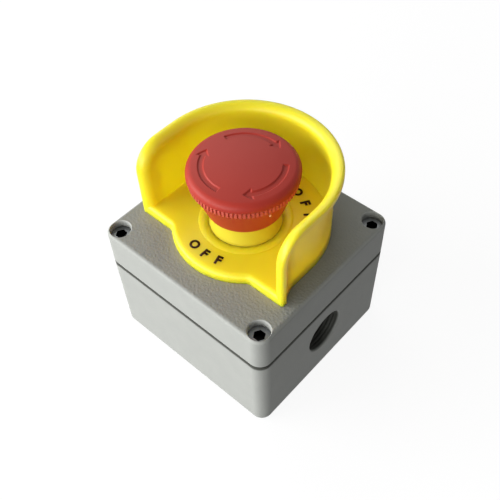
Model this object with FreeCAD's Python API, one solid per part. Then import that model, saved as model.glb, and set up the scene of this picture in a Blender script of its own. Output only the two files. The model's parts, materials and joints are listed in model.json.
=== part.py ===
"""Emergency-stop push-button station: a die-cast box, a guarded mushroom head and two contact blocks.

Millimetres. The origin is the middle of the box's underside, +Z is up through the button's axis,
-Y is the front, where the guard is open, and +X is the side with the cable entry.
"""

import FreeCAD
import Part

import math
import os

V = FreeCAD.Vector
UP = V(0, 0, 1)

# Die-cast box
BOX_X = 80.0            # width
BOX_Y = 75.0            # depth
BASE_H = 40.0           # height of the base
LID_H = 17.0            # height of the lid
CORNER_R = 5.0          # upright corners, concentric with the lid screws
WALL = 3.0              # side walls
FLOOR_T = 4.0           # floor of the base
LID_T = 4.0             # top of the lid
DRAFT_IN = 0.4          # how far the base leans in at its foot
FOOT_ROUND = 1.5        # bottom edge of the base
LID_ROUND = 1.6         # top edge of the lid
SEAM_ROUND_BASE = 0.6   # base edge along the seam
SEAM_ROUND_LID = 0.3    # lid edge along the seam
SEAM_GAP = 0.9          # open groove under the lid's edge, its height
SEAM_GAP_D = 0.8        # and its depth
COLUMN = 5.5            # screw axis to the inner faces of its column
COLUMN_ROUND = 4.0      # inner corner of a screw column

# Lid screws, M5 socket heads in deep wells
WELL_R = 4.1
WELL_DEPTH = 7.0
WELL_CHAMFER = 0.35
SCREW_R = 2.5
SCREW_HEAD_R = 3.85
SCREW_HEAD_H = 4.0
SCREW_BITE = 9.0        # thread length in the base
SCREW_RECESS_R = 2.31   # drive recess, across corners
SCREW_RECESS_H = 3.0
SCREW_HOLE_GAP = 0.25   # round a shank in a clear hole
THREAD_GAP = 0.05       # round a shank in a tapped hole
DRILL_SPARE = 2.0       # tapped holes run on past the screw

# Lid gasket, in a groove of the lid that follows the cavity
GROOVE_FROM = 0.4       # cavity wall to the groove
GROOVE_W = 1.4
GROOVE_D = 1.0
GASKET_GAP = 0.1

# Cable entry, tapped M20 x 1.5, and the floor's mounting holes and earth terminal
ENTRY_R = 9.2           # minor radius of the thread
ENTRY_Z = 23.0
PAD_R = 13.0            # thickened wall round the entry
PAD_T = 3.0
MOUNT_X = 50.0          # hole spacing
MOUNT_Y = 45.0
MOUNT_R = 2.25
EARTH_INSET = 7.5       # earth screw in from the back wall
EARTH_BOSS_R = 5.0
EARTH_BOSS_H = 4.0
EARTH_SCREW_R = 2.0
EARTH_SCREW_L = 6.0
EARTH_HEAD_R = 4.0
EARTH_HEAD_H = 2.6
EARTH_WASHER_R = 4.8
EARTH_WASHER_T = 1.0

# Guard shroud
SHROUD_IN_R = 30.5      # inner face of the wall
SHROUD_WALL = 1.5
SHROUD_H = 31.6         # rim above the lid
SHROUD_FRONT = 20.4     # axis to the front ends of the wall
SHROUD_FLOOR = 4.0
SHROUD_ARC_R = 28.0     # rounded front of the floor
SHROUD_BLEND = 3.0      # hollow corner between the front arc and the shoulders
SHROUD_EDGE = 2.0       # top edge of the floor's front
LIP_W = 4.5             # width of the curled lip along the free edge
LIP_T = 2.2             # thickness of the lip's outer edge
LIP_FLARE = 7.8         # length of the hollow flare behind the lip
LIP_IN_ROUND = 3.4
LIP_OUT_ROUND = 0.9
NECK_R = 1.2            # corner of the plain wall inside the lip
BOSS_FOOT_R = 18.0      # sloping boss on the floor
BOSS_TOP_R = 16.0
BOSS_H = 1.0
SEAL_R = 14.5           # middle of the seal ring under the shroud
SEAL_W = 3.0
SEAL_T = 1.0

# Operator: threaded sleeve, bezel, nut
SLEEVE_R = 11.0
PANEL_GAP = 0.2         # sleeve to the holes in the lid and the shroud
FLANGE_R = 12.6
FLANGE_T = 1.6
GUIDE_H = 8.5           # sleeve above the boss
BEZEL_R = 15.8
BEZEL_H = 3.0
BEZEL_ROUND = 2.4
BEZEL_FOOT = 0.4        # bevel of the lower edge, a fine groove on the boss
BEZEL_GAP = 0.15        # round the flange and the sleeve
WASHER_R = 15.0
WASHER_T = 0.8
NUT_FLATS = 27.0        # across flats
NUT_H = 6.0
NUT_GAP = 0.2           # nut to the collar below it

# Mushroom head
PRESS_TRAVEL = 4.0
SKIRT_GAP = 0.2         # skirt to bezel when pressed home
HEAD_R = 20.4
HEAD_H = 20.3
HEAD_EDGE = 2.8         # rounded upper edge
HEAD_CROWN = 1.0        # rise of the top
RIM_BAND = 0.5          # plain band under the rounded edge
RIM_UNDERCUT = 0.5      # sloping step from the band to the knurl
KNURL_H = 2.6
KNURL_PITCH = 1.44
KNURL_DEPTH = 0.35
SKIRT_TOP_R = 19.0
SKIRT_R = 14.6
HEAD_WALL = 1.8
HEAD_TOP_T = 4.5
HUB_R = 6.5
HUB_H = 8.0

# Stem, latch and pusher
STEM_R = 5.0
STEM_NECK_R = 3.6       # small end of the latch cam
JOURNAL_R = 3.0         # turns in the pusher
SPIGOT_R = 4.0          # fits the head's hub
SPIGOT_SHORT = 0.5      # spigot end to the bottom of its bore
RUN_GAP = 0.06          # radial running fit
HUB_GAP = 0.02          # radial fit of the spigot and the cross pin
CROSS_PIN_R = 1.0
CROSS_PIN_INSET = 0.3   # pin end below the hub's face
CAM_SLOPE = 0.2         # outward travel of a latch pin for each unit of press
CAM_LEAD = 0.8          # small end of the cam below the latch pins
LATCH_RISE = 3.0        # latch pins above the lid
LATCH_PIN_R = 1.2
LATCH_PIN_L = 4.9
BAND_T = 0.6
BAND_H = 3.2
BAND_GAP = 0.15         # pressed pin to the band, and band to its groove
BAND_SPLIT = 8.0        # opening of the band
SEAT_SEAL_R = 7.2       # outside of the wiper ring
SEAT_SEAL_H = 2.0
PUSHER_R = 8.5
PUSHER_GAP = 0.3        # pressed pusher to the contact blocks
PUSHER_RECESS_R = 4.2
PUSHER_RECESS_H = 2.8
PUSHER_WEB = 2.0
PUSHER_CUP_R = 5.4
PUSHER_CUP_H = 4.6
REST_GAP = 0.1          # faces that meet at the end of a stroke
KEY_W = 2.0             # ribs that stop the pusher turning
KEY_R = 9.6
KEY_GAP = 0.1
CLIP_R = 4.0
CLIP_T = 0.8
CLIP_GROOVE_R = 2.4
CLIP_MOUTH = 3.0
JOURNAL_TAIL = 0.9      # journal below the clip

# Springs, of square wire
COIL_STEPS = 10         # flats in one turn
RETURN_R = 8.6
RETURN_WIRE = 1.2
RETURN_TURNS = 5
TWIST_R = 4.5
TWIST_WIRE = 0.7
TWIST_TURNS = 4
CONTACT_COIL_R = 2.2
CONTACT_WIRE = 0.6
CONTACT_TURNS = 5

# Contact carrier under the operator
COLLAR_R = 14.0
COLLAR_H = 3.0
PLATE_X = 30.0
PLATE_T = 3.0
TAB_X = 18.0            # clip tabs at the ends of the blocks
TAB_T = 1.6
TAB_H = 7.0
TAB_GAP = 0.1
SET_SCREW_R = 1.5

# Contact blocks, one on each side of the middle plane
BLOCK_W = 12.0
BLOCK_D = 32.0
BLOCK_H = 22.0
BLOCK_SPLIT = 0.25      # half the gap between the blocks
SHELL_T = 1.2
CHAMBER_D = 19.0        # contact chamber, front to back
COVER_REBATE = 0.6
COVER_GAP = 0.05
POCKET_W = 6.4          # terminal pockets at both ends
PLUNGER_R = 2.0
PLUNGER_COLLAR_R = 3.0
PLUNGER_COLLAR_H = 1.2
GUIDE_PIN_R = 1.4       # pin inside the contact spring
GUIDE_PIN_L = 5.0
BRIDGE_W = 5.2
BRIDGE_D = 18.0
BRIDGE_T = 0.8
TIP_R = 1.4
TIP_H = 0.8
TIP_Y = 7.6             # contact tips from the middle
STRIP_W = 5.0
STRIP_T = 1.0
STRIP_FROM = 5.8
STRIP_TO = 15.6
STRIP_SLOT_GAP = 0.1
NC_STRIP_DROP = 5.0     # block top to the normally closed strips
NO_BRIDGE_DROP = 4.2    # block top to the normally open bridge
TERMINAL_Y = 13.35
TERMINAL_SCREW_R = 1.5
TERMINAL_SCREW_L = 8.0
TERMINAL_HEAD_R = 2.5
TERMINAL_HEAD_H = 2.0
CLAMP_D = 4.4
CLAMP_T = 1.2

# Levels and centres that follow from the sizes above
SEAM = BASE_H
LID_TOP = BASE_H + LID_H
LID_UNDER = LID_TOP - LID_T
EARTH_Y = BOX_Y / 2 - WALL - EARTH_INSET
SCREW_X = BOX_X / 2 - CORNER_R
SCREW_Y = BOX_Y / 2 - CORNER_R
WELL_FLOOR = LID_TOP - WELL_DEPTH
SHROUD_TOP = LID_TOP + SHROUD_H
LIP_D = LIP_T + LIP_FLARE
SHROUD_CORNER_R = LIP_D + NECK_R
BOSS_TOP = LID_TOP + SHROUD_FLOOR + BOSS_H
GUIDE_TOP = BOSS_TOP + GUIDE_H
BEZEL_TOP = BOSS_TOP + BEZEL_H
SKIRT_Z = BEZEL_TOP + SKIRT_GAP + PRESS_TRAVEL
HEAD_TOP = SKIRT_Z + HEAD_H
RIM_Z = HEAD_TOP - HEAD_CROWN - HEAD_EDGE
KNURL_TOP = RIM_Z - RIM_BAND - RIM_UNDERCUT
CEILING = HEAD_TOP - HEAD_TOP_T
HUB_Z = CEILING - HUB_H
SLEEVE_FOOT = LID_UNDER - WASHER_T - NUT_H - NUT_GAP - COLLAR_H
BLOCK_TOP = SLEEVE_FOOT - PLATE_T
BLOCK_FOOT = BLOCK_TOP - BLOCK_H
BLOCK_X = BLOCK_SPLIT + BLOCK_W / 2
PUSHER_FOOT = BLOCK_TOP + PUSHER_GAP + PRESS_TRAVEL
WEB_FOOT = PUSHER_FOOT + PUSHER_RECESS_H
WEB_TOP = WEB_FOOT + PUSHER_WEB
PUSHER_TOP = WEB_TOP + PUSHER_CUP_H
LATCH_Z = LID_TOP + LATCH_RISE
CAM_FOOT = LATCH_Z - LATCH_PIN_R - CAM_LEAD
CAM_TOP = CAM_FOOT + (STEM_R - STEM_NECK_R) / CAM_SLOPE
LATCH_TIP = STEM_NECK_R + CAM_SLOPE * (LATCH_Z + LATCH_PIN_R - CAM_FOOT) + RUN_GAP
LATCH_END = LATCH_TIP + LATCH_PIN_L
BAND_IN_R = LATCH_END + CAM_SLOPE * PRESS_TRAVEL + BAND_GAP


def polar(radius, degrees, z=0.0):
    """Point at a radius and a bearing from the axis."""
    turn = math.radians(degrees)
    return V(radius * math.cos(turn), radius * math.sin(turn), z)


def cylinder(radius, z0, z1, x=0.0, y=0.0):
    """Upright cylinder between two levels."""
    return Part.makeCylinder(radius, z1 - z0, V(x, y, z0))


def ring(inner, outer, z0, z1, x=0.0, y=0.0):
    """Upright tube between two levels."""
    return cylinder(outer, z0, z1, x, y).cut(cylinder(inner, z0, z1, x, y))


def block(x0, x1, y0, y1, z0, z1):
    """Box between two corners."""
    return Part.makeBox(x1 - x0, y1 - y0, z1 - z0, V(x0, y0, z0))


def turned(points):
    """Solid turned about the axis from a closed profile of (radius, z) points."""
    corners = [V(r, 0, z) for r, z in points]
    return Part.Face(Part.makePolygon(corners + corners[:1])).revolve(V(), UP, 360)


def hexagon(corner_r, z0, z1, x=0.0, y=0.0):
    """Upright hexagonal prism."""
    corners = [polar(corner_r, 60 * side, z0) + V(x, y, 0) for side in range(7)]
    return Part.Face(Part.makePolygon(corners)).extrude(V(0, 0, z1 - z0))


def mirrored(shape):
    """The shape's image on the other side of the middle plane."""
    return shape.mirror(V(), V(1, 0, 0))


def level_edges(shape, z):
    """Edges that lie flat at one level."""
    return [e for e in shape.Edges if abs(e.BoundBox.ZMin - z) < 0.01 and abs(e.BoundBox.ZMax - z) < 0.01]


def upright_edges(shape, x, y):
    """Upright edges at the four places (+-x, +-y)."""
    found = []
    for edge in shape.Edges:
        box = edge.BoundBox
        if box.ZLength > 0.1 and abs(abs(box.Center.x) - x) < 0.01 and abs(abs(box.Center.y) - y) < 0.01:
            found.append(edge)
    return found


def coil(radius, wire, z0, z1, turns):
    """Square-wire helical spring between two levels."""
    count = turns * COIL_STEPS
    half = wire / 2
    sections = []
    for step in range(count + 1):
        out = polar(1, 360 * step / COIL_STEPS)
        middle = out * radius + UP * (z0 + half + (z1 - z0 - wire) * step / count)
        across = out * half
        up = UP * half
        corners = [middle - across - up, middle + across - up, middle + across + up, middle - across + up]
        sections.append(Part.makePolygon(corners + corners[:1]))
    return Part.makeLoft(sections, True, True)


def box_outline(half_x, half_y, radius, z):
    """Rectangle with rounded corners, as a closed wire."""
    arcs = []
    for turn, (sx, sy) in enumerate(((1, 1), (-1, 1), (-1, -1), (1, -1))):
        middle = V(sx * (half_x - radius), sy * (half_y - radius), z)
        arcs.append([middle + polar(radius, 90 * turn + step) for step in (0, 45, 90)])
    edges = []
    for turn, arc in enumerate(arcs):
        edges.append(Part.Arc(*arc).toShape())
        edges.append(Part.LineSegment(arc[2], arcs[(turn + 1) % 4][0]).toShape())
    return Part.Wire(edges)


def cavity(grow, z0, z1):
    """Inside of the box, a cross that leaves the four screw columns, grown by an offset."""
    side_x = BOX_X / 2 - WALL + grow
    side_y = BOX_Y / 2 - WALL + grow
    column_x = SCREW_X - COLUMN + grow
    column_y = SCREW_Y - COLUMN + grow
    wide = block(-side_x, side_x, -column_y, column_y, z0, z1)
    deep = block(-column_x, column_x, -side_y, side_y, z0, z1)
    cross = wide.fuse(deep).removeSplitter()
    return cross.makeFillet(COLUMN_ROUND - grow, upright_edges(cross, column_x, column_y))


def screw_places():
    """The four lid screw axes."""
    return [(sx * SCREW_X, sy * SCREW_Y) for sx in (-1, 1) for sy in (-1, 1)]


def enclosure_base():
    """Lower half of the box: drafted walls, screw columns, tapped entry, mounting holes."""
    foot = box_outline(BOX_X / 2 - DRAFT_IN, BOX_Y / 2 - DRAFT_IN, CORNER_R - DRAFT_IN, 0)
    rim = box_outline(BOX_X / 2, BOX_Y / 2, CORNER_R, SEAM)
    base = Part.makeLoft([foot, rim], True, True)
    base = base.makeFillet(FOOT_ROUND, level_edges(base, 0))
    base = base.makeFillet(SEAM_ROUND_BASE, level_edges(base, SEAM))
    base = base.cut(cavity(0, FLOOR_T, SEAM))
    inside = BOX_X / 2 - WALL
    pad = Part.makeCylinder(PAD_R, PAD_T + WALL / 2, V(inside - PAD_T, 0, ENTRY_Z), V(1, 0, 0))
    earth_boss = cylinder(EARTH_BOSS_R, FLOOR_T / 2, FLOOR_T + EARTH_BOSS_H, 0, EARTH_Y)
    base = base.multiFuse([pad, earth_boss])
    cuts = [Part.makeCylinder(ENTRY_R, PAD_T + 2 * WALL, V(inside - PAD_T, 0, ENTRY_Z), V(1, 0, 0))]
    earth_top = FLOOR_T + EARTH_BOSS_H
    earth_depth = EARTH_SCREW_L - EARTH_WASHER_T + THREAD_GAP
    cuts.append(cylinder(EARTH_SCREW_R + THREAD_GAP, earth_top - earth_depth, earth_top, 0, EARTH_Y))
    for x, y in screw_places():
        cuts.append(cylinder(SCREW_R + THREAD_GAP, SEAM - SCREW_BITE - DRILL_SPARE, SEAM, x, y))
    for x in (-MOUNT_X / 2, MOUNT_X / 2):
        for y in (-MOUNT_Y / 2, MOUNT_Y / 2):
            cuts.append(cylinder(MOUNT_R, 0, FLOOR_T, x, y))
    return base.cut(Part.makeCompound(cuts)).removeSplitter()


def enclosure_lid():
    """Upper half of the box: screw wells, gasket groove and the hole for the operator."""
    edge = SEAM + SEAM_GAP
    lid = Part.Face(box_outline(BOX_X / 2, BOX_Y / 2, CORNER_R, edge)).extrude(UP * (LID_TOP - edge))
    lid = lid.makeFillet(LID_ROUND, level_edges(lid, LID_TOP))
    lid = lid.makeFillet(SEAM_ROUND_LID, level_edges(lid, edge))
    land = box_outline(BOX_X / 2 - SEAM_GAP_D, BOX_Y / 2 - SEAM_GAP_D, CORNER_R - SEAM_GAP_D, SEAM)
    lid = lid.fuse(Part.Face(land).extrude(UP * LID_H / 2)).removeSplitter()
    lid = lid.cut(cavity(0, SEAM, LID_UNDER))
    groove_top = SEAM + GROOVE_D
    groove = cavity(GROOVE_FROM + GROOVE_W, SEAM, groove_top).cut(cavity(GROOVE_FROM, SEAM, groove_top))
    lid = lid.cut(groove)
    lid = lid.cut(cylinder(SLEEVE_R + PANEL_GAP, LID_UNDER, LID_TOP))
    for x, y in screw_places():
        well = cylinder(WELL_R, WELL_FLOOR, LID_TOP, x, y)
        mouth = Part.makeCone(WELL_R, WELL_R + WELL_CHAMFER, WELL_CHAMFER, V(x, y, LID_TOP - WELL_CHAMFER))
        shank_hole = cylinder(SCREW_R + SCREW_HOLE_GAP, SEAM, LID_TOP, x, y)
        lid = lid.cut(well.multiFuse([mouth, shank_hole]))
    return lid


def lid_gasket():
    """Rubber seal in the lid's groove, level with the seam."""
    top = SEAM + GROOVE_D
    outside = cavity(GROOVE_FROM + GROOVE_W - GASKET_GAP, SEAM, top)
    return outside.cut(cavity(GROOVE_FROM + GASKET_GAP, SEAM, top))


def lid_screws():
    """Four socket-head screws."""
    screws = []
    for x, y in screw_places():
        head_top = WELL_FLOOR + SCREW_HEAD_H
        head = cylinder(SCREW_HEAD_R, WELL_FLOOR, head_top, x, y)
        shank = cylinder(SCREW_R, SEAM - SCREW_BITE, WELL_FLOOR, x, y)
        recess = hexagon(SCREW_RECESS_R, head_top - SCREW_RECESS_H, head_top, x, y)
        screws.append(head.fuse(shank).cut(recess))
    return Part.makeCompound(screws)


def earth_screw():
    """Pan-head screw of the earth terminal."""
    seat = FLOOR_T + EARTH_BOSS_H + EARTH_WASHER_T
    head = cylinder(EARTH_HEAD_R, seat, seat + EARTH_HEAD_H, 0, EARTH_Y)
    slot_half = EARTH_HEAD_H / 4
    slot = block(-EARTH_HEAD_R, EARTH_HEAD_R, EARTH_Y - slot_half, EARTH_Y + slot_half,
                 seat + EARTH_HEAD_H / 2, seat + EARTH_HEAD_H)
    return head.cut(slot).fuse(cylinder(EARTH_SCREW_R, seat - EARTH_SCREW_L, seat, 0, EARTH_Y))


def earth_washer():
    """Clamp washer under the earth screw."""
    seat = FLOOR_T + EARTH_BOSS_H
    return ring(EARTH_SCREW_R + SCREW_HOLE_GAP, EARTH_WASHER_R, seat, seat + EARTH_WASHER_T, 0, EARTH_Y)


def u_prism(radius, z0, z1):
    """Upright prism, round at the back and straight-sided to the front ends of the shroud's wall."""
    right_front = V(radius, -SHROUD_FRONT, z0)
    left_front = V(-radius, -SHROUD_FRONT, z0)
    right = V(radius, 0, z0)
    left = V(-radius, 0, z0)
    edges = [
        Part.LineSegment(right_front, right).toShape(),
        Part.Arc(right, V(0, radius, z0), left).toShape(),
        Part.LineSegment(left, left_front).toShape(),
        Part.LineSegment(left_front, right_front).toShape(),
    ]
    return Part.Face(Part.Wire(edges)).extrude(UP * (z1 - z0))


def lip_section():
    """Section of the curled lip at the right side: rounded inside, hollow flare outside."""
    def at(out, down):
        return V(SHROUD_IN_R + out, 0, SHROUD_TOP - down)

    def rounding(middle_out, radius, side):
        slant = radius * math.sqrt(0.5)
        return at(middle_out + side * slant, radius - slant)

    flare_out = LIP_W - SHROUD_WALL
    flare_r = (flare_out ** 2 + LIP_FLARE ** 2) / (2 * flare_out)
    half_turn = math.atan2(LIP_FLARE, flare_r - flare_out) / 2
    flare_middle = at(SHROUD_WALL + flare_r * (1 - math.cos(half_turn)),
                      LIP_D - flare_r * math.sin(half_turn))
    inside_foot = at(0, LIP_D)
    inside_edge = at(0, LIP_IN_ROUND)
    top_inside = at(LIP_IN_ROUND, 0)
    top_outside = at(LIP_W - LIP_OUT_ROUND, 0)
    outer_edge = at(LIP_W, LIP_OUT_ROUND)
    outer_foot = at(LIP_W, LIP_T)
    wall_foot = at(SHROUD_WALL, LIP_D)
    edges = [
        Part.LineSegment(inside_foot, inside_edge).toShape(),
        Part.Arc(inside_edge, rounding(LIP_IN_ROUND, LIP_IN_ROUND, -1), top_inside).toShape(),
        Part.LineSegment(top_inside, top_outside).toShape(),
        Part.Arc(top_outside, rounding(LIP_W - LIP_OUT_ROUND, LIP_OUT_ROUND, 1), outer_edge).toShape(),
        Part.LineSegment(outer_edge, outer_foot).toShape(),
        Part.Arc(outer_foot, flare_middle, wall_foot).toShape(),
        Part.LineSegment(wall_foot, inside_foot).toShape(),
    ]
    return Part.Face(Part.Wire(edges))


def shroud_lip():
    """Curled lip: turned round the back, along the sides, over the front corners and down the ends."""
    section = lip_section()
    leg = SHROUD_FRONT - SHROUD_CORNER_R
    corner_z = SHROUD_TOP - SHROUD_CORNER_R
    back = section.revolve(V(), UP, 180)
    side = section.extrude(V(0, -leg, 0))
    corner_section = section.translated(V(0, -leg, 0))
    corner_axis = V(0, -leg, corner_z)
    corner = corner_section.revolve(corner_axis, V(1, 0, 0), 90)
    post_section = corner_section.rotated(corner_axis, V(1, 0, 0), 90)
    post = post_section.extrude(V(0, 0, LID_TOP - corner_z))
    right = side.multiFuse([corner, post])
    return back.multiFuse([right, mirrored(right)])


def shroud_wall():
    """Plain wall inside the lip, from the floor up."""
    half = SHROUD_IN_R + SHROUD_WALL
    wall = u_prism(half, LID_TOP, SHROUD_TOP).cut(u_prism(SHROUD_IN_R, LID_TOP, SHROUD_TOP))
    front = LIP_D - SHROUD_FRONT
    inside = block(-half, half, front, half, LID_TOP, SHROUD_TOP - LIP_D)
    edges = [e for e in level_edges(inside, SHROUD_TOP - LIP_D) if abs(e.BoundBox.YMax - front) < 0.01]
    return wall.common(inside.makeFillet(NECK_R, edges))


def shroud_floor():
    """Floor with the rounded front, the shoulders flush with the lip's face and the sloping boss."""
    top = LID_TOP + SHROUD_FLOOR
    floor = u_prism(SHROUD_IN_R + SHROUD_WALL / 2, LID_TOP, top)
    face_middle = SHROUD_IN_R + (LIP_IN_ROUND + LIP_W - LIP_OUT_ROUND) / 2
    shoulders = block(-face_middle, face_middle, -SHROUD_FRONT, LIP_IN_ROUND - SHROUD_FRONT, LID_TOP, top)
    floor = floor.multiFuse([shoulders, cylinder(SHROUD_ARC_R, LID_TOP, top)]).removeSplitter()
    shoulder_x = math.sqrt(SHROUD_ARC_R ** 2 - SHROUD_FRONT ** 2)
    floor = floor.makeFillet(SHROUD_BLEND, upright_edges(floor, shoulder_x, SHROUD_FRONT))
    front_edges = [e for e in level_edges(floor, top) if e.BoundBox.YMax < 0.01 - SHROUD_FRONT]
    floor = floor.makeFillet(SHROUD_EDGE, front_edges)
    return floor.fuse(Part.makeCone(BOSS_FOOT_R, BOSS_TOP_R, BOSS_H, V(0, 0, top)))


def guard_shroud():
    """Moulded guard, open to the front."""
    shroud = shroud_floor().multiFuse([shroud_wall(), shroud_lip()]).removeSplitter()
    hole = cylinder(SLEEVE_R + PANEL_GAP, LID_TOP, BOSS_TOP)
    groove = ring(SEAL_R - SEAL_W / 2, SEAL_R + SEAL_W / 2, LID_TOP, LID_TOP + SEAL_T)
    return shroud.cut(hole).cut(groove)


def shroud_seal():
    """Rubber ring between the shroud and the lid."""
    half = SEAL_W / 2 - GASKET_GAP
    return ring(SEAL_R - half, SEAL_R + half, LID_TOP, LID_TOP + SEAL_T)


def bezel_ring():
    """Collar over the operator's flange, with a rounded upper edge."""
    recess_r = FLANGE_R + BEZEL_GAP
    bore_r = SLEEVE_R + BEZEL_GAP
    bezel = turned([
        (recess_r, BOSS_TOP), (BEZEL_R, BOSS_TOP), (BEZEL_R, BEZEL_TOP), (bore_r, BEZEL_TOP),
        (bore_r, BOSS_TOP + FLANGE_T), (recess_r, BOSS_TOP + FLANGE_T),
    ])
    outer = [e for e in level_edges(bezel, BEZEL_TOP) if e.BoundBox.XMax > BEZEL_R - 0.01]
    bezel = bezel.makeFillet(BEZEL_ROUND, outer)
    foot = [e for e in level_edges(bezel, BOSS_TOP) if e.BoundBox.XMax > BEZEL_R - 0.01]
    return bezel.makeChamfer(BEZEL_FOOT, foot)


def operator_body():
    """Sleeve through the lid: flange, stem bore, latch holes, pusher bore with its key slots."""
    ledge = PUSHER_TOP + REST_GAP
    body = turned([
        (STEM_R + RUN_GAP, ledge), (PUSHER_R + RUN_GAP, ledge), (PUSHER_R + RUN_GAP, SLEEVE_FOOT),
        (SLEEVE_R, SLEEVE_FOOT), (SLEEVE_R, BOSS_TOP), (FLANGE_R, BOSS_TOP),
        (FLANGE_R, BOSS_TOP + FLANGE_T), (SLEEVE_R, BOSS_TOP + FLANGE_T), (SLEEVE_R, GUIDE_TOP),
        (SEAT_SEAL_R, GUIDE_TOP), (SEAT_SEAL_R, GUIDE_TOP - SEAT_SEAL_H),
        (STEM_R + RUN_GAP, GUIDE_TOP - SEAT_SEAL_H),
    ])
    key_half = KEY_W / 2 + KEY_GAP
    key_r = KEY_R + KEY_GAP
    keyway = block(-key_half, key_half, -key_r, key_r, SLEEVE_FOOT, ledge)
    band_half = BAND_H / 2 + BAND_GAP
    band_groove = ring(BAND_IN_R - BAND_GAP, SLEEVE_R, LATCH_Z - band_half, LATCH_Z + band_half)
    latch_hole = Part.makeCylinder(LATCH_PIN_R + RUN_GAP, 2 * SLEEVE_R, V(-SLEEVE_R, 0, LATCH_Z), V(1, 0, 0))
    return body.cut(keyway).cut(band_groove).cut(latch_hole)


def stem_seal():
    """Wiper ring round the stem, in the top of the operator."""
    return ring(STEM_R + RUN_GAP, SEAT_SEAL_R - GASKET_GAP, GUIDE_TOP - SEAT_SEAL_H, GUIDE_TOP)


def lock_washer():
    """Washer between the lid and the nut."""
    return ring(SLEEVE_R + PANEL_GAP, WASHER_R, LID_UNDER - WASHER_T, LID_UNDER)


def locknut():
    """Hexagon nut on the sleeve, chamfered below."""
    top = LID_UNDER - WASHER_T
    corner_r = NUT_FLATS / math.sqrt(3)
    nut = hexagon(corner_r, top - NUT_H, top)
    chamfer = Part.makeCone(NUT_FLATS / 2, NUT_FLATS / 2 + NUT_H, NUT_H, V(0, 0, top - NUT_H))
    return nut.common(chamfer).cut(cylinder(SLEEVE_R + THREAD_GAP, top - NUT_H, top))


def head_profile():
    """Half section of the head without its knurl: crowned top, rounded edge, conical skirt, hollow."""
    skirt_top = KNURL_TOP - KNURL_H
    knurl_r = SKIRT_TOP_R + KNURL_DEPTH
    edge_middle = HEAD_R - HEAD_EDGE
    lean = 2 * math.atan(HEAD_CROWN / edge_middle)
    flat_r = edge_middle + HEAD_EDGE * math.sin(lean)
    edge_z = RIM_Z + HEAD_EDGE * math.cos(lean)
    slant = HEAD_EDGE * math.sqrt(0.5)

    def at(r, z):
        return V(r, 0, z)

    def lines(*points):
        return [Part.LineSegment(a, b).toShape() for a, b in zip(points, points[1:])]

    crown = Part.Arc(at(-flat_r, edge_z), at(0, HEAD_TOP), at(flat_r, edge_z))
    crown_half = Part.Arc(at(0, HEAD_TOP), crown.value((crown.FirstParameter + 3 * crown.LastParameter) / 4),
                          at(flat_r, edge_z))
    edge = Part.Arc(at(flat_r, edge_z), at(edge_middle + slant, RIM_Z + slant), at(HEAD_R, RIM_Z))
    edges = [crown_half.toShape(), edge.toShape()]
    edges += lines(
        at(HEAD_R, RIM_Z), at(HEAD_R, RIM_Z - RIM_BAND), at(knurl_r, KNURL_TOP), at(SKIRT_TOP_R, KNURL_TOP),
        at(SKIRT_TOP_R, skirt_top), at(SKIRT_R, SKIRT_Z), at(SKIRT_R - HEAD_WALL, SKIRT_Z),
        at(SKIRT_TOP_R - HEAD_WALL, skirt_top), at(SKIRT_TOP_R - HEAD_WALL, CEILING), at(HUB_R, CEILING),
        at(HUB_R, HUB_Z), at(SPIGOT_R + HUB_GAP, HUB_Z), at(SPIGOT_R + HUB_GAP, CEILING), at(0, CEILING),
        at(0, HEAD_TOP),
    )
    return Part.Face(Part.Wire(edges))


def knurl():
    """Ring of fine upright ribs under the rim."""
    outer = SKIRT_TOP_R + KNURL_DEPTH
    ribs = int(2 * math.pi * outer / KNURL_PITCH)
    corners = []
    for rib in range(ribs):
        corners.append(polar(outer, 360 * rib / ribs, KNURL_TOP))
        corners.append(polar(SKIRT_TOP_R, 360 * (rib + 0.5) / ribs, KNURL_TOP))
    star = Part.Face(Part.makePolygon(corners + corners[:1])).extrude(UP * -KNURL_H)
    return star.cut(cylinder(SKIRT_TOP_R - HEAD_WALL / 2, KNURL_TOP - KNURL_H, KNURL_TOP))


def cross_pin(radius, half_length):
    """Cylinder across the middle of the hub."""
    return Part.makeCylinder(radius, 2 * half_length, V(-half_length, 0, CEILING - HUB_H / 2), V(1, 0, 0))


def mushroom_head():
    """Hollow moulded head with a knurled band and an inner hub."""
    head = head_profile().revolve(V(), UP, 360)
    return head.fuse(knurl()).cut(cross_pin(CROSS_PIN_R + HUB_GAP, HUB_R)).removeSplitter()


def head_stem():
    """Stem: spigot, guide, latch cam, neck, journal and clip groove."""
    clip_top = WEB_FOOT - REST_GAP
    clip_foot = clip_top - CLIP_T
    spigot_top = CEILING - SPIGOT_SHORT
    stem = turned([
        (0, spigot_top), (SPIGOT_R, spigot_top), (SPIGOT_R, HUB_Z), (STEM_R, HUB_Z), (STEM_R, CAM_TOP),
        (STEM_NECK_R, CAM_FOOT), (STEM_NECK_R, WEB_TOP), (JOURNAL_R, WEB_TOP), (JOURNAL_R, clip_top),
        (CLIP_GROOVE_R, clip_top), (CLIP_GROOVE_R, clip_foot), (JOURNAL_R, clip_foot),
        (JOURNAL_R, clip_foot - JOURNAL_TAIL), (0, clip_foot - JOURNAL_TAIL),
    ])
    return stem.cut(cross_pin(CROSS_PIN_R + HUB_GAP, HUB_R))


def head_pin():
    """Cross pin that keys the stem to the head."""
    return cross_pin(CROSS_PIN_R, HUB_R - CROSS_PIN_INSET)


def stem_circlip():
    """Open retaining clip in the journal's groove."""
    clip_top = WEB_FOOT - REST_GAP
    clip = ring(CLIP_GROOVE_R + HUB_GAP, CLIP_R, clip_top - CLIP_T, clip_top)
    return clip.cut(block(-CLIP_MOUTH / 2, CLIP_MOUTH / 2, 0, CLIP_R, clip_top - CLIP_T, clip_top))


def return_spring():
    """Compression spring between the operator and the head's ceiling."""
    return coil(RETURN_R, RETURN_WIRE, GUIDE_TOP, CEILING - REST_GAP, RETURN_TURNS)


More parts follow.
